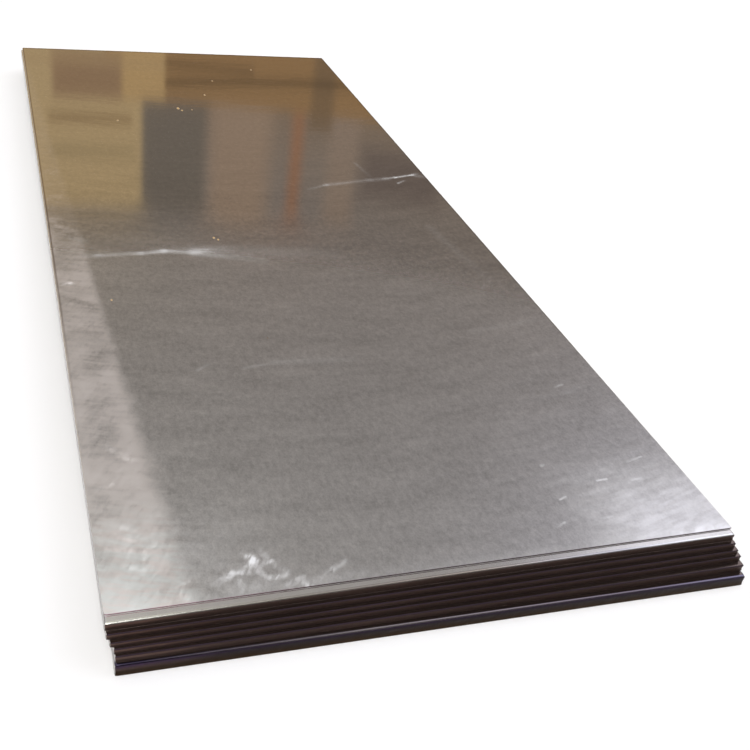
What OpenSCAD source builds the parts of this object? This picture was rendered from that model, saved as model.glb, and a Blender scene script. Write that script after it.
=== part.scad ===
// A loose stack of six aluminium plates under one thin aluminium sheet.
// Every piece is cut to the same width and length and lies flat on the one below.
// None is quite in line with its neighbours, so the front end shows a small stair of edges.
// X runs across the stack, Y from the front end to the back end, Z up.
// The origin is the middle of the bottom plate's underside.

/* [All pieces] */
// Width of every piece, across the stack
piece_w = 1219; // [600:1:2000]
// Length of every piece, front to back
piece_l = 3048; // [1200:1:6000]
// Radius of the lightly rolled-over top edges of the sheet and plates 2 to 5
fine_edge_r = 1.2; // [0.4:0.1:1.6]
// Radius of the heavily rolled-over top edges of plates 1 and 6
heavy_edge_r = 4; // [1:0.5:6]
// Radius of the bottom edges of every piece
low_edge_r = 0.8; // [0.3:0.1:1]

/* [Top sheet] */
// Thickness of the top sheet
top_sheet_t = 3; // [3:0.5:12]
// How far the sheet's middle lies behind the bottom plate's
top_sheet_back = 59; // [0:1:150]
// How far the sheet's middle lies to the right of the bottom plate's
top_sheet_right = -35; // [-80:1:80]
// How far the sheet is turned about its middle, in degrees
top_sheet_turn = 0; // [-2:0.05:2]

/* [Plate 1] */
// Thickness of plate 1, the one under the top sheet
plate_1_t = 16; // [8:1:40]
// How far its middle lies behind the bottom plate's
plate_1_back = 42; // [0:1:150]
// How far its middle lies to the right of the bottom plate's
plate_1_right = -39; // [-80:1:80]
// How far it is turned about its middle, in degrees
plate_1_turn = 0.1; // [-2:0.05:2]

/* [Plate 2] */
// Thickness of plate 2
plate_2_t = 12; // [6:1:40]
// How far its middle lies behind the bottom plate's
plate_2_back = 33; // [0:1:150]
// How far its middle lies to the right of the bottom plate's
plate_2_right = -36; // [-80:1:80]
// How far it is turned about its middle, in degrees
plate_2_turn = 0.05; // [-2:0.05:2]

/* [Plate 3] */
// Thickness of plate 3
plate_3_t = 10; // [6:1:40]
// How far its middle lies behind the bottom plate's
plate_3_back = 25; // [0:1:150]
// How far its middle lies to the right of the bottom plate's
plate_3_right = -31; // [-80:1:80]
// How far it is turned about its middle, in degrees
plate_3_turn = 0.05; // [-2:0.05:2]

/* [Plate 4] */
// Thickness of plate 4
plate_4_t = 12; // [6:1:40]
// How far its middle lies behind the bottom plate's
plate_4_back = 19; // [0:1:150]
// How far its middle lies to the right of the bottom plate's
plate_4_right = -23; // [-80:1:80]
// How far it is turned about its middle, in degrees
plate_4_turn = -0.05; // [-2:0.05:2]

/* [Plate 5] */
// Thickness of plate 5
plate_5_t = 15; // [6:1:40]
// How far its middle lies behind the bottom plate's
plate_5_back = 10; // [0:1:150]
// How far its middle lies to the right of the bottom plate's
plate_5_right = -11; // [-80:1:80]
// How far it is turned about its middle, in degrees
plate_5_turn = -0.45; // [-2:0.05:2]

/* [Plate 6] */
// Thickness of plate 6, the bottom plate
plate_6_t = 25; // [8:1:60]
// How far it is turned about its middle, in degrees
plate_6_turn = -0.9; // [-2:0.05:2]

/* [Hidden] */

// Height of each piece's underside, added up from the floor
plate_5_z = plate_6_t;
plate_4_z = plate_5_z + plate_5_t;
plate_3_z = plate_4_z + plate_4_t;
plate_2_z = plate_3_z + plate_3_t;
plate_1_z = plate_2_z + plate_2_t;
top_sheet_z = plate_1_z + plate_1_t;

// Bright rolled face of the sheet, and the duller look of plate stock
sheet_colour = [0.78, 0.78, 0.79];
plate_colour = [0.62, 0.61, 0.60];

$fn = 48;

// Cross-section of a slab that stands on the X axis, with its corners rounded off
module slab_section(w, t, top_r, low_r) {
    translate([-w / 2, low_r]) square([w, t - top_r - low_r]);
    translate([-w / 2 + low_r, 0]) square([w - 2 * low_r, t - top_r]);
    translate([-w / 2 + top_r, low_r]) square([w - 2 * top_r, t - low_r]);
    for (side = [-1, 1]) {
        translate([side * (w / 2 - top_r), t - top_r]) circle(r = top_r);
        translate([side * (w / 2 - low_r), low_r]) circle(r = low_r);
    }
}

// A slab with all its edges rounded, the middle of its underside at the origin
module slab(t, top_r) {
    intersection() {
        translate([0, piece_l / 2, 0]) rotate([90, 0, 0])
            linear_extrude(height = piece_l)
                slab_section(piece_w, t, top_r, low_edge_r);
        translate([-piece_w / 2, 0, 0]) rotate([90, 0, 90])
            linear_extrude(height = piece_w)
                slab_section(piece_l, t, top_r, low_edge_r);
    }
}

// Lays a piece at its height and place on the stack, turned about its own middle
module lay(z, right, back, turn) {
    translate([right, back, z]) rotate([0, 0, turn]) children();
}

module top_sheet() {
    color(sheet_colour)
        lay(top_sheet_z, top_sheet_right, top_sheet_back, top_sheet_turn)
            slab(top_sheet_t, fine_edge_r);
}

module plate_1() {
    color(plate_colour)
        lay(plate_1_z, plate_1_right, plate_1_back, plate_1_turn)
            slab(plate_1_t, heavy_edge_r);
}

module plate_2() {
    color(plate_colour)
        lay(plate_2_z, plate_2_right, plate_2_back, plate_2_turn)
            slab(plate_2_t, fine_edge_r);
}

module plate_3() {
    color(plate_colour)
        lay(plate_3_z, plate_3_right, plate_3_back, plate_3_turn)
            slab(plate_3_t, fine_edge_r);
}

module plate_4() {
    color(plate_colour)
        lay(plate_4_z, plate_4_right, plate_4_back, plate_4_turn)
            slab(plate_4_t, fine_edge_r);
}

module plate_5() {
    color(plate_colour)
        lay(plate_5_z, plate_5_right, plate_5_back, plate_5_turn)
            slab(plate_5_t, fine_edge_r);
}

module plate_6() {
    color(plate_colour)
        lay(0, 0, 0, plate_6_turn)
            slab(plate_6_t, heavy_edge_r);
}

top_sheet();
plate_1();
plate_2();
plate_3();
plate_4();
plate_5();
plate_6();
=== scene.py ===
"""A loose stack of six sheared aluminium plates under one thin mill-finish sheet."""
import math
import bpy
import numpy as np
from mathutils import Matrix, Vector


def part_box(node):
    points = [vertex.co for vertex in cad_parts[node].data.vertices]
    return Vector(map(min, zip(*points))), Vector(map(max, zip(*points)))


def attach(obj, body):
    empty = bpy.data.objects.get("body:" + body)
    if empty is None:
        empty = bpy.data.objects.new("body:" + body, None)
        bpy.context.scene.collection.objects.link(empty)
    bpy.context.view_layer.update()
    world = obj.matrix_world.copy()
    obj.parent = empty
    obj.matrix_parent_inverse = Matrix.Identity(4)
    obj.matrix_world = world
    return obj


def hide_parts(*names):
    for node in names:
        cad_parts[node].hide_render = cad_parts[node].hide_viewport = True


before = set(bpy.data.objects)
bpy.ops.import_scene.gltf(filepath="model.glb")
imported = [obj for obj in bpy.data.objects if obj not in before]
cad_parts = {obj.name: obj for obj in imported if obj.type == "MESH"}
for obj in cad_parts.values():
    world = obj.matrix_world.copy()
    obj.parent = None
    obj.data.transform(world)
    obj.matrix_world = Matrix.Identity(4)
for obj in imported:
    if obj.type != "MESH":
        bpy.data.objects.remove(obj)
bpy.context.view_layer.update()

MM = 0.001
PIECES = ["top_sheet", "plate_1", "plate_2", "plate_3", "plate_4", "plate_5", "plate_6"]
HEAVY_ROLL = 4.0 * MM        # roll-over of the two heavily rolled plates
FINE_ROLL = 1.2 * MM         # roll-over of the other plates
SHEET_ROLL = 0.5 * MM        # roll-over of the thin sheet
LOW_ROUND = 0.8 * MM         # round under every piece
STEP = 5.0 * MM              # length of one step along an edge
PLATE_WIDTH = 1219 * MM      # across the front end
SHARP_ANGLE = math.radians(38)   # faces that meet at more than this keep a crisp edge
FIRST_SEED = 40              # the top sheet's; each piece below takes the next one
SHEET_LOW, SHEET_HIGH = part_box("top_sheet")
SHEET_MID = [(a + b) / 2 for a, b in zip(SHEET_LOW, SHEET_HIGH)]

SUN_STRENGTH, SUN_WIDTH = 2.3, math.radians(50)
SUN_WAY = (0.35, 0.45, -0.82)            # the way its light travels
CAMERA_PLACE = (-0.7504, -2.6838, 1.3611)
CAMERA_HEADING, CAMERA_PITCH, CAMERA_ROLL = [math.radians(a) for a in (-22.77, -32.38, -8.62)]
LENS_MM, FILM_MM = 49.6, 36.0


# ---------------------------------------------------------------- shader wires

class Wire:
    """One node socket. Sums of wires and numbers add Math nodes, and node() adds any other node."""

    def __init__(self, tree, socket=None):
        self.tree, self.socket = tree, socket

    def node(self, kind, settings=None, inputs=None, out=0):
        """Adds a node: its settings first, a ramp's stops among them, then its sockets' values or links."""
        made = self.tree.nodes.new("ShaderNode" + kind)
        for name, value in (settings or {}).items():
            if name == "stops":
                ramp = made.color_ramp.elements
                while len(ramp) < len(value):
                    ramp.new(0.5)
                for stop, (place, colour) in zip(ramp, value):
                    stop.position, stop.color = place, (*colour, 1)
            else:
                setattr(made, name, value)
        for name, value in (inputs or {}).items():
            if isinstance(value, Wire):
                self.tree.links.new(value.socket, made.inputs[name])
            else:
                made.inputs[name].default_value = value
        return Wire(self.tree, made.outputs[out])

    def math(self, operation, *values):
        return self.node("Math", {"operation": operation}, dict(enumerate(values)))

    def __add__(self, other):
        return self.math("ADD", self, other)

    def __sub__(self, other):
        return self.math("SUBTRACT", self, other)

    def __rsub__(self, other):
        return self.math("SUBTRACT", other, self)

    def __mul__(self, other):
        return self.math("MULTIPLY", self, other)

    def __truediv__(self, other):
        return self.math("DIVIDE", self, other)

    def __pow__(self, other):
        return self.math("POWER", self, other)

    __radd__ = __add__
    __rmul__ = __mul__

    def vector(self, operation, *values, out=0):
        return self.node("VectorMath", {"operation": operation}, dict(enumerate(values)), out)

    def axes(self):
        """The three parts of this place or direction, as three wires."""
        parts = self.node("SeparateXYZ", None, {0: self})
        return [Wire(self.tree, out) for out in parts.socket.node.outputs]

    def scaled(self, amount):
        """This colour with each of its parts times an amount."""
        return self.node("VectorMath", {"operation": "SCALE"}, {0: self, "Scale": amount})

    def ramp(self, stops):
        """The colour that a list of (value, colour) stops gives this value."""
        return self.node("ValToRGB", {"stops": stops}, {0: self})

    def clamp(self):
        """This value, kept between 0 and 1."""
        return self.node("Clamp", None, {0: self, 1: 0.0, 2: 1.0})

    def size(self):
        """This value without its sign."""
        return self.math("ABSOLUTE", self)

    def most(self, other):
        """The larger of two values."""
        return self.math("MAXIMUM", self, other)

    def rise(self, low, high):
        """0 below low, 1 above high, and smooth between."""
        return self.node("MapRange", {"interpolation_type": "SMOOTHSTEP", "clamp": False},
                         {0: self, 1: low, 2: high, 3: 0.0, 4: 1.0})

    def noise(self, scale, turn=0.0, detail=2.0, rough=0.5, swirl=0.0, shift=(0.0, 0.0, 0.0)):
        """Cloudy noise, 0..1, on this place: turned flat by an angle, then scaled, in features a metre."""
        flat = self.node("Mapping", {"vector_type": "POINT"},
                         {"Vector": self, "Location": shift, "Rotation": (0.0, 0.0, turn)})
        sized = flat.vector("MULTIPLY", flat, scale)
        return sized.node("TexNoise", {"noise_dimensions": "3D", "normalize": True},
                          {"Vector": sized, "Scale": 1.0, "Detail": detail, "Roughness": rough,
                           "Distortion": swirl})

    def tint(self, plain, toned):
        """Colour from plain to toned as this value goes from 0 to 1."""
        return self.node("Mix", {"data_type": "RGBA", "clamp_factor": True},
                         {0: self, 6: plain, 7: toned}, out=2)


def new_material(name):
    """An empty material, its output node and a bare wire to hang nodes on."""
    made = bpy.data.materials.new(name)
    made.use_nodes = True
    made.node_tree.nodes.clear()
    end = made.node_tree.nodes.new("ShaderNodeOutputMaterial")
    return made, end, Wire(made.node_tree)


def object_place(wire):
    """The point on a piece, in metres in the CAD's own frame."""
    return wire.node("TexCoord", None, None, out=3)


def seen_direct(wire):
    """1 for what the camera sees straight, and 0 in reflections and in the light that falls on things."""
    return wire.node("LightPath", None, None, out=0)


def put_in_scene(name, data):
    """A new object of a mesh, lamp or camera, linked into the scene."""
    made = bpy.data.objects.new(name, data)
    bpy.context.scene.collection.objects.link(made)
    return made


def finish_metal(end, wire, inputs, height=None, depth=0.0):
    """One Principled shader with its sockets filled; a height wire feeds a Bump of a depth in metres."""
    inputs = dict(inputs)
    if height is not None:
        inputs["Normal"] = wire.node("Bump", None, {"Strength": 1.0, "Distance": depth, "Height": height})
    shader = wire.node("BsdfPrincipled", {"distribution": "GGX"}, inputs)
    wire.tree.links.new(shader.socket, end.inputs["Surface"])


# ---------------------------------------------------------------- marks on the sheet

def streak(place, start, end, width, glow):
    """
    A stroke on the sheet: 1 on the line from start to end, down to 0 at its width away, times a glow that
    runs evenly from its first value at the start to its second at the end.
    """
    way = (end[0] - start[0], end[1] - start[1], 0.0)
    square = way[0] ** 2 + way[1] ** 2
    from_start = place.vector("SUBTRACT", place, (*start, 0.0))
    share = place.vector("DOT_PRODUCT", from_start, tuple(c / square for c in way), out=1).clamp()
    nearest = share.node("VectorMath", {"operation": "SCALE"}, {0: way, "Scale": share})
    near = place.vector("DISTANCE", from_start, nearest, out=1).rise(width, 0.0)
    return near * (glow[0] + share * (glow[1] - glow[0]))


def spot(place, middle, reach):
    """A round or oval spot: 1 in the middle, down to 0 at its reach across and along."""
    shifted = place.vector("SUBTRACT", place, (*middle, 0.0))
    sized = place.vector("MULTIPLY", shifted, (1 / reach[0], 1 / reach[1], 1.0))
    return place.vector("LENGTH", sized, out=1).rise(1.0, 0.0)


def total(place, shape, marks):
    """A shape's strength summed over a list of marks."""
    strength = 0.0
    for mark in marks:
        strength = shape(place, *mark) + strength
    return strength


# start and end (metres from the sheet's middle), half width, glow at start and at end
SCRATCHES = [
    # the long scratch on the left, with its halo and the fan beyond its end
    ((-0.541, -0.268), (-0.496, -0.264), 0.0200, (0.07, 0.14)),
    ((-0.496, -0.264), (-0.387, -0.257), 0.0180, (0.14, 0.25)),
    ((-0.387, -0.259), (-0.324, -0.249), 0.0180, (0.28, 0.38)),
    ((-0.324, -0.249), (-0.236, -0.260), 0.0200, (0.38, 0.25)),
    ((-0.342, -0.240), (-0.217, -0.244), 0.0300, (0.05, 0.08)),
    ((-0.244, -0.259), (-0.135, -0.234), 0.0300, (0.16, 0.04)),
    ((-0.244, -0.263), (-0.073, -0.322), 0.0280, (0.18, 0.07)),
    ((-0.235, -0.256), (0.130, -0.290), 0.0550, (0.12, 0.04)),
    # the bright scratch at the right edge
    ((0.183, 0.147), (0.250, 0.180), 0.0120, (0.08, 0.16)),
    ((0.250, 0.180), (0.410, 0.216), 0.0200, (0.16, 0.10)),
    ((0.406, 0.215), (0.469, 0.225), 0.0220, (0.10, 0.16)),
    ((0.456, 0.226), (0.501, 0.236), 0.0110, (0.15, 0.45)),
    ((0.501, 0.236), (0.569, 0.256), 0.0110, (0.50, 0.52)),
    ((0.559, 0.254), (0.589, 0.267), 0.0100, (0.40, 0.20)),
    ((0.577, 0.251), (0.603, 0.240), 0.0220, (0.16, 0.10)),
    ((0.494, 0.189), (0.525, 0.210), 0.0080, (0.40, 0.10)),
    ((0.399, 0.357), (0.416, 0.245), 0.0100, (0.10, 0.03)),
    # faint swept lines
    ((-0.337, -0.832), (-0.304, -0.805), 0.0080, (0.12, 0.06)),
    ((-0.234, -0.835), (-0.184, -0.827), 0.0090, (0.08, 0.14)),
    ((-0.161, -0.820), (0.030, -0.828), 0.0200, (0.08, 0.04)),
    ((0.480, -0.140), (0.530, -0.475), 0.0260, (0.04, 0.03)),
    ((0.360, -0.735), (0.570, -0.700), 0.0130, (0.06, 0.05)),
    ((-0.580, -0.130), (-0.530, -0.175), 0.0300, (0.00, 0.09)),
    # short nicks towards the right of the front end
    ((0.401, -1.341), (0.424, -1.339), 0.0050, (0.55, 0.75)),
    ((0.499, -1.294), (0.542, -1.280), 0.0045, (0.10, 0.50)),
    ((0.293, -1.383), (0.308, -1.377), 0.0050, (0.55, 0.35)),
    ((0.249, -1.459), (0.270, -1.449), 0.0050, (0.12, 0.40)),
    ((0.475, -1.001), (0.495, -0.993), 0.0065, (0.15, 0.28)),
    ((0.488, -1.028), (0.513, -1.025), 0.0065, (0.20, 0.10)),
    ((0.302, -1.276), (0.308, -1.273), 0.0065, (0.30, 0.25)),
    ((0.478, -1.351), (0.502, -1.348), 0.0060, (0.25, 0.35)),
    ((0.356, -1.451), (0.376, -1.448), 0.0060, (0.15, 0.25)),
]

# the same for the smears of packing film at the front end
SMEARS = [
    # the splashed patch
    ((-0.360, -1.419), (-0.345, -1.436), 0.0104, (0.10, 0.24)),
    ((-0.361, -1.428), (-0.350, -1.448), 0.0096, (0.08, 0.28)),
    ((-0.352, -1.435), (-0.338, -1.458), 0.0112, (0.38, 0.22)),
    ((-0.362, -1.456), (-0.341, -1.444), 0.0104, (0.24, 0.40)),
    ((-0.376, -1.468), (-0.355, -1.460), 0.0104, (0.16, 0.30)),
    ((-0.373, -1.472), (-0.349, -1.473), 0.0104, (0.26, 0.16)),
    ((-0.344, -1.462), (-0.334, -1.489), 0.0112, (0.22, 0.24)),
    ((-0.327, -1.423), (-0.317, -1.454), 0.0112, (0.12, 0.20)),
    ((-0.327, -1.454), (-0.307, -1.452), 0.0104, (0.28, 0.22)),
    ((-0.311, -1.466), (-0.294, -1.481), 0.0120, (0.20, 0.16)),
    ((-0.325, -1.491), (-0.299, -1.491), 0.0112, (0.28, 0.36)),
    ((-0.409, -1.483), (-0.389, -1.468), 0.0128, (0.20, 0.34)),
    ((-0.421, -1.490), (-0.375, -1.465), 0.0128, (0.10, 0.14)),
    ((-0.391, -1.511), (-0.380, -1.489), 0.0112, (0.08, 0.20)),
    ((-0.303, -1.514), (-0.270, -1.502), 0.0120, (0.14, 0.28)),
    ((-0.278, -1.506), (-0.265, -1.527), 0.0128, (0.22, 0.44)),
    ((-0.381, -1.508), (-0.320, -1.500), 0.0220, (0.10, 0.08)),
    # the swipe beside it and the soft edge along the front
    ((-0.239, -1.505), (-0.213, -1.489), 0.0120, (0.10, 0.18)),
    ((-0.214, -1.492), (-0.185, -1.476), 0.0112, (0.18, 0.18)),
    ((-0.258, -1.516), (-0.160, -1.508), 0.0180, (0.10, 0.06)),
    ((0.420, -1.520), (0.620, -1.518), 0.0160, (0.00, 0.45)),
    # the near left corner
    ((-0.531, -1.409), (-0.500, -1.369), 0.0060, (0.16, 0.12)),
    ((-0.558, -1.321), (-0.536, -1.333), 0.0090, (0.10, 0.16)),
    ((-0.565, -1.345), (-0.543, -1.359), 0.0090, (0.12, 0.18)),
    ((-0.586, -1.373), (-0.528, -1.391), 0.0100, (0.12, 0.14)),
    ((-0.565, -1.418), (-0.536, -1.434), 0.0110, (0.18, 0.12)),
    ((-0.496, -1.493), (-0.464, -1.473), 0.0060, (0.06, 0.18)),
    ((-0.482, -1.499), (-0.468, -1.520), 0.0140, (0.10, 0.14)),
    ((-0.559, -1.080), (-0.521, -1.130), 0.0140, (0.08, 0.12)),
    ((-0.592, -1.208), (-0.560, -1.198), 0.0090, (0.08, 0.16)),
    ((-0.593, -0.412), (-0.577, -0.406), 0.0130, (0.16, 0.30)),
]

# middle, reach across and along of each fleck of dust and packing chip
FLECKS = [
    ((-0.110, 0.862), (0.010, 0.020)), ((-0.099, 0.842), (0.008, 0.013)), ((-0.062, 0.850), (0.005, 0.010)),
    ((0.012, 1.012), (0.007, 0.014)), ((0.257, 1.330), (0.007, 0.014)), ((0.072, 1.177), (0.006, 0.010)),
    ((-0.334, 0.733), (0.007, 0.012)), ((-0.177, -0.176), (0.006, 0.011)), ((-0.167, -0.188), (0.005, 0.010)),
    ((-0.487, -0.500), (0.005, 0.008)), ((-0.150, -0.713), (0.003, 0.004)),
]


# tones of the sheet's bare metal, of scuffs on it and of the painted highlight at its near right, of its
# weathered strip, of the dust on it and of the painted shade along its edges
BARE_DEEP, BARE_PALE = (0.50, 0.492, 0.488, 1), (0.92, 0.908, 0.902, 1)
SCUFFED, GLINT_HIGHLIGHT = (0.79, 0.80, 0.815, 1), (0.86, 0.865, 0.93, 1)
WEATHERED, WEATHERED_COOL = (0.82, 0.775, 0.750, 1), (0.765, 0.785, 0.770, 1)
DUST, EDGE_SHADE = (0.55, 0.36, 0.15, 1), (0.28, 0.22, 0.18, 1)
SATIN = 0.30                     # roughness of the sheet where it is looked down on
SATIN_LOST = 0.25                # how much of that goes where it is looked along
LOOKED_ALONG = (0.535, 0.605)    # facing away, 1 - sine of the sight line's height, over which it goes


def weathered_strip(x, y, blotch, mottle, corner):
    """
    How weathered the sheet is along its left side, 0 to 1. The strip's inner edge is a straight line,
    pushed about by the blotches and more so towards the front, with a paler ridge just inside it. The
    strip is faint at the far end and mottled towards the front.
    """
    front = 1.0 - y.rise(-1.15, -0.60)
    rim = (x + 0.536 + y * 0.0472 + (blotch - 0.5) * (front * 0.07 + 0.02)) / (front * 1.5 + 1.0)
    strip = 1.0 - rim.rise(-0.014, 0.010)
    ridge = strip * rim.rise(-0.030, -0.012)
    uneven = 1.0 - y.rise(-0.10, 0.60) * 0.8
    worn = 0.150 - y.rise(-0.35, 0.12) * 0.120 + ridge * front * 0.05 + mottle * uneven
    worn = (worn + (front - corner) * 0.05 + corner * 0.04).most(0.03)
    return (strip * worn).clamp()


def metal_sheet():
    """
    Mill finish of the top sheet: swept grain, scratches, a weathered strip down one side, smears and dust.
    Haze is the sum of scratches broken by fine lines, smears broken by feathering, a creamy near left
    corner, a painted highlight at the near right that stands in for a glint of light, and a pale front lip.
    Haze and weathering are a film: where there is film or dust, the surface is that much less metal.
    """
    made, end, w = new_material("mill_finish")
    place = object_place(w)
    place = w.vector("SUBTRACT", place, (SHEET_MID[0], SHEET_MID[1], SHEET_HIGH[2]))
    x, y, _ = place.axes()
    # the wiping marks run across the sheet in shallow arcs
    swept = w.node("CombineXYZ", None, {0: x, 1: y - x * x * 0.26, 2: 0.0})

    grain = place.noise((66.0, 40.0, 1.0), detail=3.0, rough=1.0)
    blotch = place.noise((12.0, 9.0, 1.0), detail=3.0, rough=0.5, swirl=0.5, shift=(3.0, 1.0, 0.0))
    feather = place.noise((34.0, 115.0, 1.0), turn=-1.05, detail=2.0, rough=0.5, swirl=0.8)
    dashes = swept.noise((17.0, 60.0, 1.0), detail=2.0, rough=0.55, shift=(2.0, 0.0, 0.0))
    combed = swept.noise((9.0, 120.0, 1.0), detail=2.0, rough=0.6)
    patches = swept.noise((5.0, 17.0, 1.0), detail=2.0, rough=0.6, shift=(0.0, 5.0, 0.0))

    corner = 1.0 - y.rise(-1.45, -1.20)
    mottle = (blotch - 0.5) * 0.42 + (dashes - 0.5) * 0.25 + (feather - 0.5) * 0.20
    warm = weathered_strip(x, y, blotch, mottle, corner)

    # the creamy near left corner
    spread = 1.0 - (x + 0.38 + (blotch - 0.5) * 0.3).rise(-0.10, 0.14)
    near = 1.0 - (x + y + (blotch - 0.5) * 0.2).rise(-2.08, -1.98)
    cream = corner * spread * (mottle + 0.11) + near * 0.14
    # the painted highlight at the near right, a glint of light put in as pale film, and the pale lip along
    # the front
    right = x.rise(-0.10, 0.60) * (1.0 - y.rise(-1.25, -0.20))
    lit = x.rise(0.25, 0.46) * (1.0 - (y + (patches - 0.5) * 0.15).rise(-1.50, -1.22))
    glint = right * dashes.rise(0.60, 0.80) * 0.08 + lit * (dashes.rise(0.35, 0.65) * 0.26 + 0.38)
    lip = (1.0 - y.rise(-1.524, -1.490)) * (blotch * 0.14 + 0.02)
    # scratches and smears
    lines = combed.rise(0.20, 0.75) * 0.8 + dashes * 0.8
    tufts = feather.rise(0.30, 0.66) * 1.5 + 0.15
    scuffs = total(place, streak, SCRATCHES) * lines + total(place, streak, SMEARS) * tufts
    haze = (scuffs + cream + glint + lip + 0.015).clamp()
    film = (haze + warm).clamp()
    dust = (total(place, spot, FLECKS) * (feather * 0.8 + 0.4)).rise(0.25, 0.60)

    # the wiping marks, and a painted shade: the -0.15, whole towards the near end and a fifth of it far off,
    # darkens the bare metal towards the near end
    swipes_and_shade = (patches - 0.5) * 0.6 + (dashes - 0.5) * 0.25 - 0.15
    swipes_and_shade = swipes_and_shade * (1.0 - y.rise(-0.10, 0.70) * 0.8)
    swipes_and_shade = (grain - 0.5) * (1.5 - y.rise(-0.30, 0.30) * 0.8) + swipes_and_shade + 0.5
    # where lit, the haze turns to the bluish white of the painted highlight
    colour = haze.tint(swipes_and_shade.tint(BARE_DEEP, BARE_PALE), lit.tint(SCUFFED, GLINT_HIGHLIGHT))
    cool = corner * dashes.rise(0.38, 0.58)
    colour = (warm * 5.0).tint(colour, cool.tint(WEATHERED, WEATHERED_COOL))
    colour = dust.tint(colour, DUST)
    # painted shade: a dark line along the far edge and on all but the near end of both long edges, standing
    # in for the shadow gap under the sheet's rim
    edge_shade = y.rise(1.509, 1.517).most(x.size().rise(0.6035, 0.6065) * y.rise(-1.10, -0.20))
    colour = (edge_shade * 0.75).tint(colour, EDGE_SHADE)
    metal = (1.0 - film) * (1.0 - dust)
    # satin looked down on at over 28 degrees, mirror-like below 23: this change moves with the viewer
    along = w.node("LayerWeight", None, {"Blend": 0.5}, out=1)
    rough = (SATIN - along.rise(*LOOKED_ALONG) * SATIN_LOST + film * 0.05 + dust * 0.3).clamp()
    finish_metal(end, w, {"Base Color": colour, "Metallic": metal, "Roughness": rough},
                 patches * (right * 5.0 + 0.8), 0.00010)
    return made


def metal_skin(name, dark, pale, rough):
    """A plate's mill finish, of its flat faces and rolled-over edges, between a dark and a pale tone."""
    made, end, w = new_material(name)
    place = object_place(w)
    cloud = place.noise((3.0, 3.0, 3.0), detail=4.0)
    rolled = place.noise((300.0, 3.0, 300.0), detail=2.0)
    soiled = place.noise((26.0, 26.0, 90.0), detail=3.0)
    colour = (cloud * 0.5 + soiled * 0.5).tint((*dark, 1), (*pale, 1))
    gloss = rough + cloud * 0.10 + rolled * 0.06
    finish_metal(end, w, {"Base Color": colour, "Metallic": 0.97, "Roughness": gloss}, rolled, 0.00003)
    return made


def run_and_share(w):
    """A plate's own map, then its parts: metres round the edge, and height as a share of the plate's."""
    run = w.node("UVMap", {"uv_map": "run"}, None)
    ahead, share, _ = run.axes()
    return run, ahead, share


def metal_cut(name, stops, gloss, painted_light_end=0.0, painted_light_reach=0.22, banded=True):
    """
    Cut edge: tones by height, broken by upright marks and torn grain. It is paler near the first corner by
    the amount given, a painted light, fading out at the reach given in metres, over a band of its height or
    over all of it.
    """
    made, end, w = new_material(name)
    run, ahead, share = run_and_share(w)
    marks = run.noise((420.0, 0.4, 1.0), detail=3.0)
    torn = run.noise((160.0, 3.0, 1.0), detail=4.0)
    patch = run.noise((3.5, 0.2, 1.0), detail=3.0)
    tone = (share + (marks - 0.5) * 0.14 + (torn - 0.5) * 0.12).ramp(stops)
    light = patch * 0.7 + torn * 0.3 + 0.5
    # painted light: the end is paler near its first corner, where light falls on it
    if painted_light_end:
        pale = ahead.rise(painted_light_reach, 0.02)
        if banded:
            pale = pale * (share.rise(0.30, 0.60) * share.rise(0.92, 0.72))
        light = light + pale * painted_light_end
    rough = gloss + (torn - 0.5) * 0.3
    finish_metal(end, w, {"Base Color": tone.scaled(light), "Metallic": 0.85, "Roughness": rough},
                 marks * 0.5 + torn, 0.0004)
    return made


def metal_roll(name, start, width, stops, rough):
    """
    Rolled-over top edge: dark where it leaves the cut face, up to a share of the height, and lighter over the
    round, a painted shade, broken by rubbed noise. Its tones follow stops along the edge, whose length is
    width, and are a painted reflection.
    """
    made, end, w = new_material(name)
    run, ahead, share = run_and_share(w)
    rubbed = run.noise((8.0, 1.0, 1.0), detail=3.0)
    streaks = run.noise((90.0, 14.0, 1.0), detail=2.0)
    tone = (ahead / width + (rubbed - 0.5) * 0.12).ramp(stops)
    over = (share - start) / (1.0 - start)
    light = (over + (streaks - 0.5) * 0.15).rise(0.25, 0.80) * 0.96 + 0.04
    light = light * (rubbed * 0.3 + 0.85)
    finish_metal(end, w, {"Base Color": tone.scaled(light), "Metallic": 0.95,
                          "Roughness": rubbed * 0.08 + rough}, streaks, 0.00004)
    return made


# ---------------------------------------------------------------- plates

def plate_place(node):
    """Middle, half sizes and turn of a plate, from the four corners of its CAD node."""
    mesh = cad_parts[node].data
    points = np.empty(len(mesh.vertices) * 3)
    mesh.vertices.foreach_get("co", points)
    points = points.reshape(-1, 3)
    corners = np.array([points[np.argmax(points[:, 0] * sx + points[:, 1] * sy), :2]
                        for sx, sy in ((-1, -1), (1, -1), (1, 1), (-1, 1))])
    side = corners[1] - corners[0]
    half = np.linalg.norm(side) / 2, np.linalg.norm(corners[2] - corners[1]) / 2
    turn = math.atan2(side[1], side[0])
    return corners.mean(axis=0), half, turn, points[:, 2].min(), points[:, 2].max()


def loop(half_w, half_l):
    """
    Once round a rectangle, anticlockwise from its near left corner: each point as two shares of the half
    sizes, its run along the edge in metres, and how many steps go across and along.
    """
    across, along = round(2 * half_w / STEP), round(2 * half_l / STEP)
    a = np.linspace(-1, 1, across, endpoint=False)
    b = np.linspace(-1, 1, along, endpoint=False)
    u = np.concatenate([a, np.ones(along), -a, -np.ones(along)])
    v = np.concatenate([-np.ones(across), b, np.ones(across), -b])
    run = np.concatenate([(a + 1) * half_w, 2 * half_w + (b + 1) * half_l])
    run = np.concatenate([run, run + 2 * (half_w + half_l)])
    return u, v, run, across, along


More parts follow.
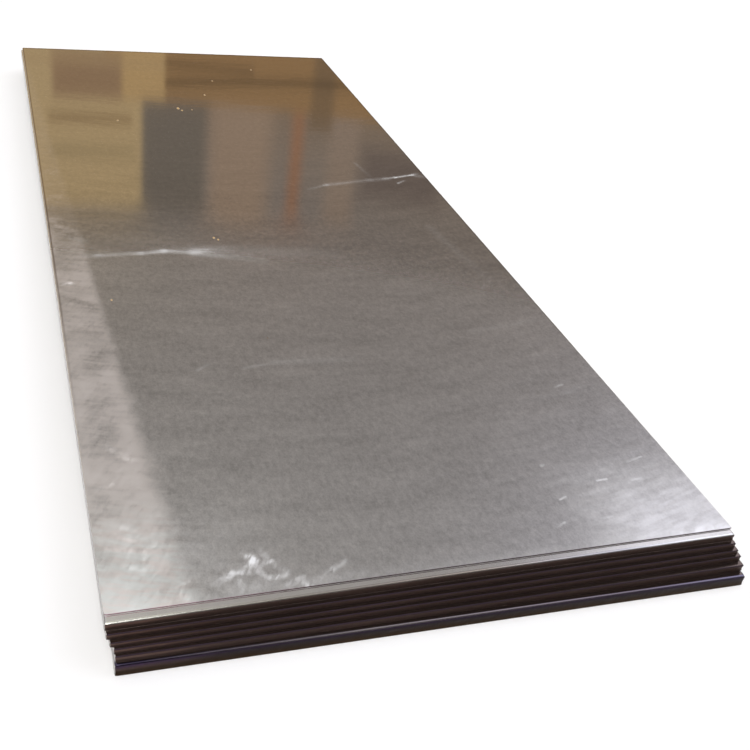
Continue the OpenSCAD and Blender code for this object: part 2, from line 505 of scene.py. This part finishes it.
def ripple(rng, run, length, rows, waves, fade):
    """
    Smooth random value on rows by run, closed round the loop: a sum of 36 cosines of whole waves, each at
    its count to the power -fade and drifting from row to row, over the spread of the sum.
    """
    counts = np.round(np.geomspace(waves[0], waves[1], 36))[:, None, None]
    starts = rng.uniform(0, 2 * math.pi, counts.shape)
    drift = rng.uniform(-0.6, 0.6, counts.shape) * np.arange(rows)[None, :, None]
    phase = counts * run[None, None, :] * 2 * math.pi / length + starts + drift
    summed = (counts ** -fade * np.cos(phase)).sum(axis=0)
    return summed / summed.std()


def hump(run, centre, width, length):
    """A bell along the closed run: e to the power -(distance from the centre / width) squared."""
    away = (run - centre + length / 2) % length - length / 2
    return np.exp(-(away / width) ** 2)


# rows of the edge profile, counted from the middle of the underside round to the middle of the top
EDGE_ROWS = slice(3, -4)          # all but the flats
TORN_ROWS = slice(8, 13)
LAST_TORN_ROW, LAND_ROW = 12, 13
UPPER_KNOCK = (15, 2.2)           # row where a knock in the upper edge is deepest, and its spread in rows
LOWER_KNOCK = (7, 2.0)
FLAT_FACES, END_FACES, SIDE_FACES, ROLL_FACES = range(4)    # a piece's materials, in order


def sheared_plate(name, seed, roll, materials):
    """
    A plate as one closed surface: an edge profile carried once round its rectangle.
    The profile goes from the middle of the underside out to a small low round, up a torn face that leans
    in, up a straight land, over a quarter-ellipse roll and back to the middle of the top. An inset shrinks
    the rectangle, so a point lies at (share_x * (half_w - inset), share_y * (half_l - inset), height).
    """
    middle, (half_w, half_l), turn, low_z, high_z = plate_place(name)
    thick = high_z - low_z
    rng = np.random.default_rng(seed)
    u, v, run, across, along = loop(half_w, half_l)
    length = 4 * (half_w + half_l)
    columns = len(run)

    quarter = np.linspace(0, math.pi / 2, 5)
    face = np.linspace(LOW_ROUND, 0.58 * thick, 6)[1:]
    land_top = thick - roll
    inset = np.concatenate([[0.25, 0.05, 0.012], LOW_ROUND * (1 - np.sin(quarter)),
                            np.full(5, 0.0), [0.0],
                            roll * (1 - np.cos(quarter)), [roll + 0.0006, roll + 0.008, 0.05, 0.25]])
    height = np.concatenate([[0, 0, 0], LOW_ROUND * (1 - np.cos(quarter)),
                             face, [(face[-1] + land_top) / 2],
                             land_top + roll * np.sin(quarter), [thick] * 4])
    rows = len(inset)
    calm = 0.25 if name == "top_sheet" else 1.0
    ends = np.zeros(columns, bool)
    ends[:across] = ends[across + along:2 * across + along] = True
    inset = np.repeat(inset[:, None], columns, axis=1)
    height = np.repeat(height[:, None], columns, axis=1)

    # torn face: hollow between the low round and the land, and rough
    depth = min(0.5 * MM, 0.06 * thick)
    hollow = np.sin(np.linspace(0, math.pi, 7)[1:-1])[:, None] * depth
    rough = np.clip(ripple(rng, run, length, 5, (60, 800), 0.15), -2, 2)
    inset[TORN_ROWS] += calm * hollow * (1.0 + 0.35 * rough)
    # the line between the torn face and the land wanders
    wander = ripple(rng, run, length, 1, (9, 500), 0.4)[0]
    height[LAST_TORN_ROW] += np.clip(wander, -2, 2) * 0.05 * calm * thick
    height[LAND_ROW] += np.clip(wander, -2, 2) * 0.02 * calm * thick

    # knocks: short inward dents in the upper or the lower edge
    for _ in range(7):
        centre = rng.uniform(0, length)
        width = rng.uniform(5, 16) * MM
        deep = rng.uniform(0.3, 1.0) * MM * min(1.0, thick / 0.008)
        dent = deep * hump(run, centre, width, length)
        row, reach = UPPER_KNOCK if rng.uniform() < 0.6 else LOWER_KNOCK
        share = np.exp(-((np.arange(rows) - row) / reach) ** 2)
        inset += share[:, None] * dent[None, :]
    # blunted corners
    for centre in (0.0, 2 * half_w, 2 * (half_w + half_l), 2 * (2 * half_w + half_l)):
        inset[EDGE_ROWS] += 0.9 * MM * hump(run, centre, 2.5 * MM, length)

    x, y = u * (half_w - inset), v * (half_l - inset)
    points = np.stack([x, y, height], axis=-1).reshape(-1, 3)
    # the spines that close the underside and the top
    spine_y = np.linspace(-1, 1, along + 1) * (half_l - half_w)
    spines = [np.stack([np.zeros(along + 1), spine_y, np.full(along + 1, z)], axis=1)
              for z in (0.0, thick)]
    points = np.concatenate([points] + spines)
    cos, sin = math.cos(turn), math.sin(turn)
    points = np.stack([middle[0] + points[:, 0] * cos - points[:, 1] * sin,
                       middle[1] + points[:, 0] * sin + points[:, 1] * cos,
                       low_z + points[:, 2]], axis=1)

    here = np.arange(columns)
    after = (here + 1) % columns
    quads = np.stack([here, after, after + columns, here + columns], axis=1)
    quads = (quads[None] + (np.arange(rows - 1) * columns)[:, None, None]).reshape(-1, 4)
    spine = np.concatenate([np.zeros(across, int), np.arange(along),
                            np.full(across, along), along - np.arange(along)])
    tris = []
    under, over = rows * columns, rows * columns + along + 1
    for ring, base, flip in ((0, under, True), ((rows - 1) * columns, over, False)):
        a, b = ring + here, ring + after
        c, d = base + spine[after], base + spine
        one, two = np.stack([a, b, c], axis=1), np.stack([a, c, d], axis=1)[c != d]
        both = np.concatenate([one, two])
        tris.append(both[:, ::-1] if flip else both)
    tris = np.concatenate(tris)

    mesh = bpy.data.meshes.new(name + "_plate")
    mesh.from_pydata(points.tolist(), [], quads.tolist() + tris.tolist())
    # the ends painted dark as shade and the slit sides paler, up to the roll-over or on over it where it is
    # fine
    kind = np.zeros((rows - 1, columns), int)
    if len(materials) > ROLL_FACES:
        kind[7:15] = np.where(ends, END_FACES, SIDE_FACES)
        kind[15:19] = ROLL_FACES
    else:
        kind[7:18] = np.where(ends, END_FACES, SIDE_FACES)
    kind = np.append(kind.reshape(-1), np.full(len(tris), FLAT_FACES))
    mesh.polygons.foreach_set("material_index", kind.astype(np.int32))
    mesh.polygons.foreach_set("use_smooth", np.ones(len(kind), bool))
    mesh.set_sharp_from_angle(angle=SHARP_ANGLE)
    layer = mesh.uv_layers.new(name="run")
    run_after = np.append(run[1:], length)
    us = np.stack([run, run_after, run_after, run], axis=1)
    us = np.repeat(us[None], rows - 1, axis=0).reshape(-1)
    vs = height.reshape(-1)[quads].reshape(-1) / thick
    flat = np.stack([us, vs], axis=1)
    flat = np.concatenate([flat, np.zeros((len(tris) * 3, 2))])
    layer.data.foreach_set("uv", flat.reshape(-1))
    mesh.update()
    made = put_in_scene(name + "_stock", mesh)
    for material in materials:
        mesh.materials.append(material)
    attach(made, "root")
    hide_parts(name)
    return made


SHEET_SKIN = metal_sheet()
BRIGHT_SKIN = metal_skin("bright_skin", (0.74, 0.72, 0.69), (0.90, 0.88, 0.86), 0.12)
# painted shade: the lower plates' flat faces, their lips among them, are a dark copy of the bright skin,
# standing in for the shade under the plates above
SHADED_SKIN = metal_skin("shaded_skin", (0.13, 0.098, 0.088), (0.24, 0.19, 0.17), 0.12)
# painted shade: the ends of the sheet and of the plates get near-black browns standing in for the shade they
# lie in, with painted shade by height, darkest low down on the sheet and the middle plates
SHEET_END = metal_cut("sheet_end", [(0.0, (0.016, 0.010, 0.011)), (1.0, (0.080, 0.052, 0.060))],
                      0.5, 4.0, painted_light_reach=0.45, banded=False)
SHEARED_END = metal_cut("sheared_end", [
    (0.00, (0.038, 0.024, 0.021)), (0.35, (0.047, 0.029, 0.023)), (0.66, (0.060, 0.036, 0.029)),
    (0.84, (0.044, 0.027, 0.026)), (0.94, (0.030, 0.018, 0.028)), (1.00, (0.036, 0.023, 0.036))], 0.5, 1.2)
LOWEST_END = metal_cut("lowest_end", [
    (0.00, (0.034, 0.017, 0.005)), (0.25, (0.025, 0.013, 0.005)), (0.55, (0.016, 0.009, 0.008)),
    (0.75, (0.014, 0.008, 0.013)), (0.86, (0.024, 0.013, 0.030))], 0.5, 2.5)
SLIT_SIDE = metal_cut("slit_side", [(0.0, (0.30, 0.28, 0.27)), (1.0, (0.78, 0.76, 0.74))], 0.4)
# painted reflection and shade: plate_1's roll is pale at the left, darker in the middle and white at the
# right, and dark low on the round
PAINTED_LIGHT_ROLL = metal_roll("painted_light_roll", 0.75, PLATE_WIDTH, [
    (0.04, (0.74, 0.73, 0.66)), (0.18, (0.56, 0.53, 0.47)), (0.36, (0.44, 0.40, 0.36)),
    (0.55, (0.38, 0.335, 0.29)), (0.77, (0.56, 0.55, 0.58)), (0.93, (0.86, 0.87, 0.88))], 0.15)
# painted shade: plate_6's roll is a darker copy, near black at the left end, with painted reflection along it
PAINTED_SHADE_ROLL = metal_roll("painted_shade_roll", 0.84, PLATE_WIDTH, [
    (0.04, (0.028, 0.022, 0.040)), (0.18, (0.145, 0.125, 0.150)), (0.36, (0.30, 0.27, 0.28)),
    (0.60, (0.22, 0.19, 0.21)), (0.80, (0.17, 0.145, 0.18)), (1.00, (0.185, 0.17, 0.25))], 0.17)
MATERIALS = {"top_sheet": (SHEET_SKIN, SHEET_END, SLIT_SIDE),
             "plate_1": (BRIGHT_SKIN, SHEARED_END, SLIT_SIDE, PAINTED_LIGHT_ROLL),
             "plate_6": (SHADED_SKIN, LOWEST_END, SLIT_SIDE, PAINTED_SHADE_ROLL)}
ROLLS = {"top_sheet": SHEET_ROLL, "plate_1": HEAVY_ROLL, "plate_6": HEAVY_ROLL}
for number, name in enumerate(PIECES):
    roll = ROLLS.get(name, FINE_ROLL)
    sheared_plate(name, FIRST_SEED + number, roll, MATERIALS.get(name, (SHADED_SKIN, SHEARED_END, SLIT_SIDE)))


# ---------------------------------------------------------------- studio

def studio_floor():
    """Pale floor and low wall as one surface of revolution: flat, then a quarter round, then upright."""
    reach, bend, top = 34.0, 3.0, 5.2
    quarter = np.linspace(0, math.pi / 2, 13)
    radius = np.concatenate([[4.0, 12.0, 24.0], reach - bend + bend * np.sin(quarter), [reach]])
    height = np.concatenate([[0, 0, 0], bend * (1 - np.cos(quarter)), [top]]) - 0.0004
    angle = np.linspace(0, 2 * math.pi, 97)[:-1]
    columns = len(angle)
    points = np.stack([radius[:, None] * np.cos(angle), radius[:, None] * np.sin(angle),
                       np.repeat(height[:, None], columns, axis=1)], axis=-1).reshape(-1, 3)
    here = np.arange(columns)
    after = (here + 1) % columns
    quads = np.stack([here, here + columns, after + columns, after], axis=1)
    quads = (quads[None] + (np.arange(len(radius) - 1) * columns)[:, None, None]).reshape(-1, 4)
    mesh = bpy.data.meshes.new("studio_floor")
    mesh.from_pydata(points.tolist(), [], quads.tolist() + [here.tolist()])
    mesh.polygons.foreach_set("use_smooth", np.ones(len(mesh.polygons), bool))
    made = put_in_scene("studio_floor", mesh)
    material, end, w = new_material("pale_floor")
    shade = w.node("BsdfDiffuse", None, {"Color": (0.95, 0.95, 0.95, 1)})
    # the wall looks plain white to the camera, and still lights the stack as the floor does
    _, _, up = object_place(w).axes()
    white = w.node("Emission", None, {"Color": (1.0, 1.0, 1.0, 1), "Strength": 1.0})
    wall = seen_direct(w) * up.rise(0.02, 0.60).clamp()
    shade = w.node("MixShader", None, {0: wall, 1: shade, 2: white})
    w.tree.links.new(shade.socket, end.inputs["Surface"])
    mesh.materials.append(material)


# the room's colour by height, straight down 0 to straight up 1: what both halves share, then the warm
# far end beyond the stack and the neutral room behind the camera
OVERHEAD = [(0.515, (0.192, 0.174, 0.165)), (0.54, (0.198, 0.181, 0.173)), (0.58, (0.240, 0.221, 0.213)),
            (0.62, (0.268, 0.250, 0.241)), (0.70, (0.305, 0.290, 0.277)), (0.78, (0.40, 0.39, 0.38)),
            (0.86, (0.62, 0.61, 0.61)), (0.93, (0.54, 0.54, 0.54)), (1.00, (0.42, 0.42, 0.43))]
FAR_ROOM = [(0.00, (0.62, 0.60, 0.58)), (0.15, (0.50, 0.44, 0.36)), (0.21, (0.24, 0.165, 0.10)),
            (0.32, (0.225, 0.165, 0.115)), (0.37, (0.235, 0.187, 0.148)),
            (0.47, (0.210, 0.187, 0.172))] + OVERHEAD
NEAR_ROOM = [(0.00, (0.62, 0.60, 0.58)), (0.15, (0.46, 0.44, 0.42)), (0.23, (0.27, 0.255, 0.245)),
             (0.37, (0.225, 0.210, 0.200))] + OVERHEAD

# soft cards at the far end: colour, sides, heights, softness, strength, and how much the card leans.
# pale board, dim opening beside it, upright tones beyond, then the low brown wall and its ledges
CARDS = [
    ((0.310, 0.222, 0.155), (0.197, 0.256), (0.22, 0.445), 0.012, 1.0, 0.0),
    ((0.275, 0.205, 0.153), (0.312, 0.340), (0.32, 0.420), 0.008, 1.0, 0.0),
    ((0.320, 0.155, 0.080), (0.2755, 0.2865), (0.32, 0.460), 0.006, 0.85, 0.0),
    ((0.165, 0.137, 0.108), (0.100, 0.193), (0.322, 0.425), 0.007, 1.0, 0.0),
    ((0.450, 0.325, 0.168), (-0.60, 0.132), (0.18, 0.419), 0.004, 1.0, 0.0),
    ((0.295, 0.175, 0.078), (0.10, 0.60), (0.18, 0.322), 0.004, 1.0, 0.0),
    ((0.455, 0.300, 0.135), (0.10, 0.153), (0.18, 0.322), 0.003, 1.0, 0.0),
    ((0.285, 0.180, 0.100), (0.050, 0.113), (0.285, 0.323), 0.004, 1.0, 0.0),
    ((0.400, 0.275, 0.145), (-0.10, 0.153), (0.290, 0.296), 0.003, 0.7, 0.0),
    ((0.250, 0.160, 0.075), (0.045, 0.122), (0.337, 0.3435), 0.0025, 1.0, 0.0),
    ((0.320, 0.235, 0.120), (0.045, 0.125), (0.362, 0.373), 0.005, 0.7, 0.0),
    ((0.150, 0.115, 0.095), (0.345, 0.420), (0.345, 0.388), 0.012, 0.9, 0.0),
    ((0.185, 0.120, 0.065), (0.291, 0.312), (0.18, 0.335), 0.005, 0.8, 0.0),
    ((0.095, 0.060, 0.030), (0.153, 0.60), (0.316, 0.321), 0.0015, 1.0, 0.077),
    ((0.140, 0.085, 0.040), (0.153, 0.235), (0.2885, 0.2935), 0.002, 1.0, 0.0),
]

# soft round glows: colour, heading and height in degrees, then the angles where it is whole and where gone
GLOWS = [
    ((1.20, 1.20, 1.33), 50, 39.5, 6.5, 9.0),
    ((1.25, 1.25, 1.35), 96, 46, 20.0, 30.0),
    ((0.95, 0.93, 0.87), -8, 60, 10.0, 18.0),
]


def with_card(sky, side, level, colour, sides, heights, soft, strength):
    """The sky with a soft-edged card in it, which shows by how far inside its nearest edge a direction is."""
    across = (side - (sides[0] + sides[1]) / 2).size() - (sides[1] - sides[0]) / 2
    along = (level - (heights[0] + heights[1]) / 2).size() - (heights[1] - heights[0]) / 2
    return (across.most(along).rise(soft, -soft) * strength).tint(sky, (*colour, 1))


def with_glow(sky, toward, colour, heading, height, full, fade):
    """The sky with a round soft glow, whole within one angle of its middle and gone past another."""
    a, h = math.radians(heading), math.radians(height)
    centre = (math.sin(a) * math.cos(h), math.cos(a) * math.cos(h), math.sin(h))
    near = toward.vector("DOT_PRODUCT", toward, centre, out=1)
    return near.rise(math.cos(math.radians(fade)), math.cos(math.radians(full))).tint(sky, (*colour, 1))


def studio_light():
    """
    One broad soft sun behind the camera, and a dim soft room: warm and low at the far end, paler overhead,
    with soft pale glows high up ahead and at the right. The camera itself sees plain white.
    """
    world = bpy.data.worlds.new("studio")
    bpy.context.scene.world = world
    world.use_nodes = True
    world.node_tree.nodes.clear()
    end = world.node_tree.nodes.new("ShaderNodeOutputWorld")
    w = Wire(world.node_tree)
    toward = w.node("TexCoord", None, None, out=0)
    x, y, up = toward.axes()
    side = x / (x * x + y * y) ** 0.5
    ahead = y.rise(0.20, 0.45).clamp()
    sky = up.ramp(FAR_ROOM)
    for colour, sides, heights, soft, strength, lean in CARDS:
        level = up + side * lean if lean else up
        sky = with_card(sky, side, level, colour, sides, heights, soft, strength)
    sky = ahead.node("Mix", {"data_type": "RGBA"}, {0: ahead, 6: up.ramp(NEAR_ROOM), 7: sky}, out=2)
    # the pale upper right
    sky = (side.rise(0.50, 0.63) * up.rise(0.46, 0.53)).tint(sky, (0.345, 0.333, 0.358, 1))
    for glow in GLOWS:
        sky = with_glow(sky, toward, *glow)
    sky = seen_direct(w).tint(sky, (1.0, 1.0, 1.0, 1))
    lit = w.node("Background", None, {"Color": sky, "Strength": 1.0})
    w.tree.links.new(lit.socket, end.inputs["Surface"])

    data = bpy.data.lights.new("broad_sun", "SUN")
    data.energy, data.angle = SUN_STRENGTH, SUN_WIDTH
    sun = put_in_scene("broad_sun", data)
    sun.rotation_mode = "QUATERNION"
    sun.rotation_quaternion = Vector(SUN_WAY).to_track_quat("-Z", "Y")


def add_camera():
    """The view from above the near left of the stack, looking down its length."""
    data = bpy.data.cameras.new("view")
    data.lens, data.sensor_width, data.clip_end = LENS_MM, FILM_MM, 200.0
    camera = put_in_scene("view", data)
    turn = (Matrix.Rotation(CAMERA_HEADING, 4, "Z") @ Matrix.Rotation(CAMERA_PITCH, 4, "X")
            @ Matrix.Rotation(CAMERA_ROLL, 4, "Y") @ Matrix.Rotation(math.radians(90), 4, "X"))
    camera.matrix_world = Matrix.Translation(CAMERA_PLACE) @ turn
    bpy.context.scene.camera = camera


add_camera()
studio_floor()
studio_light()
bpy.context.scene.view_settings.view_transform = "Standard"
